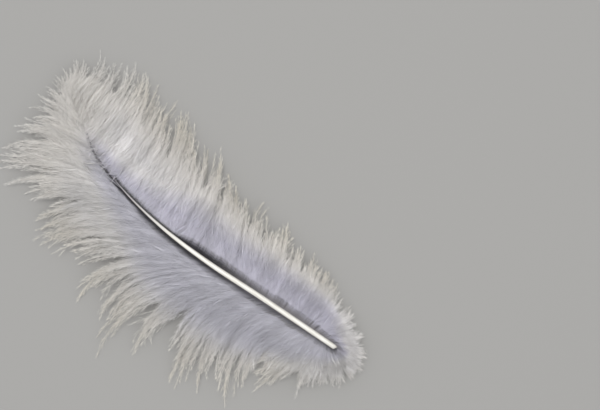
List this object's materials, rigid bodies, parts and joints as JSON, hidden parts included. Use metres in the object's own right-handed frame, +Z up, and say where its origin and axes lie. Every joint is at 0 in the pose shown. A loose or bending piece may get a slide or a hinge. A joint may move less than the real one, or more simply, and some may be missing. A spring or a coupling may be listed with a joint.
{
  "type": "goose quill feather",
  "caption": "Downy goose plume lying flat: a glossy ivory quill with a short bare cut end and soft, wispy vanes of pale down on both sides.",
  "frame": {"origin": "middle of the underside, on the surface that the plume lies on", "axes": "+X from the quill's cut end to the plume's tip, +Y towards the wider left vane, +Z up, on the side that shows the quill's glossy back"},
  "size_m": [0.1342, 0.0728, 0.0069],
  "materials": {
    "quill_horn": "satin",
    "down": "matte"
  },
  "bodies": {
    "root": {"quill": "quill_horn", "left_vane": "down", "right_vane": "down"}
  },
  "joints": []
}
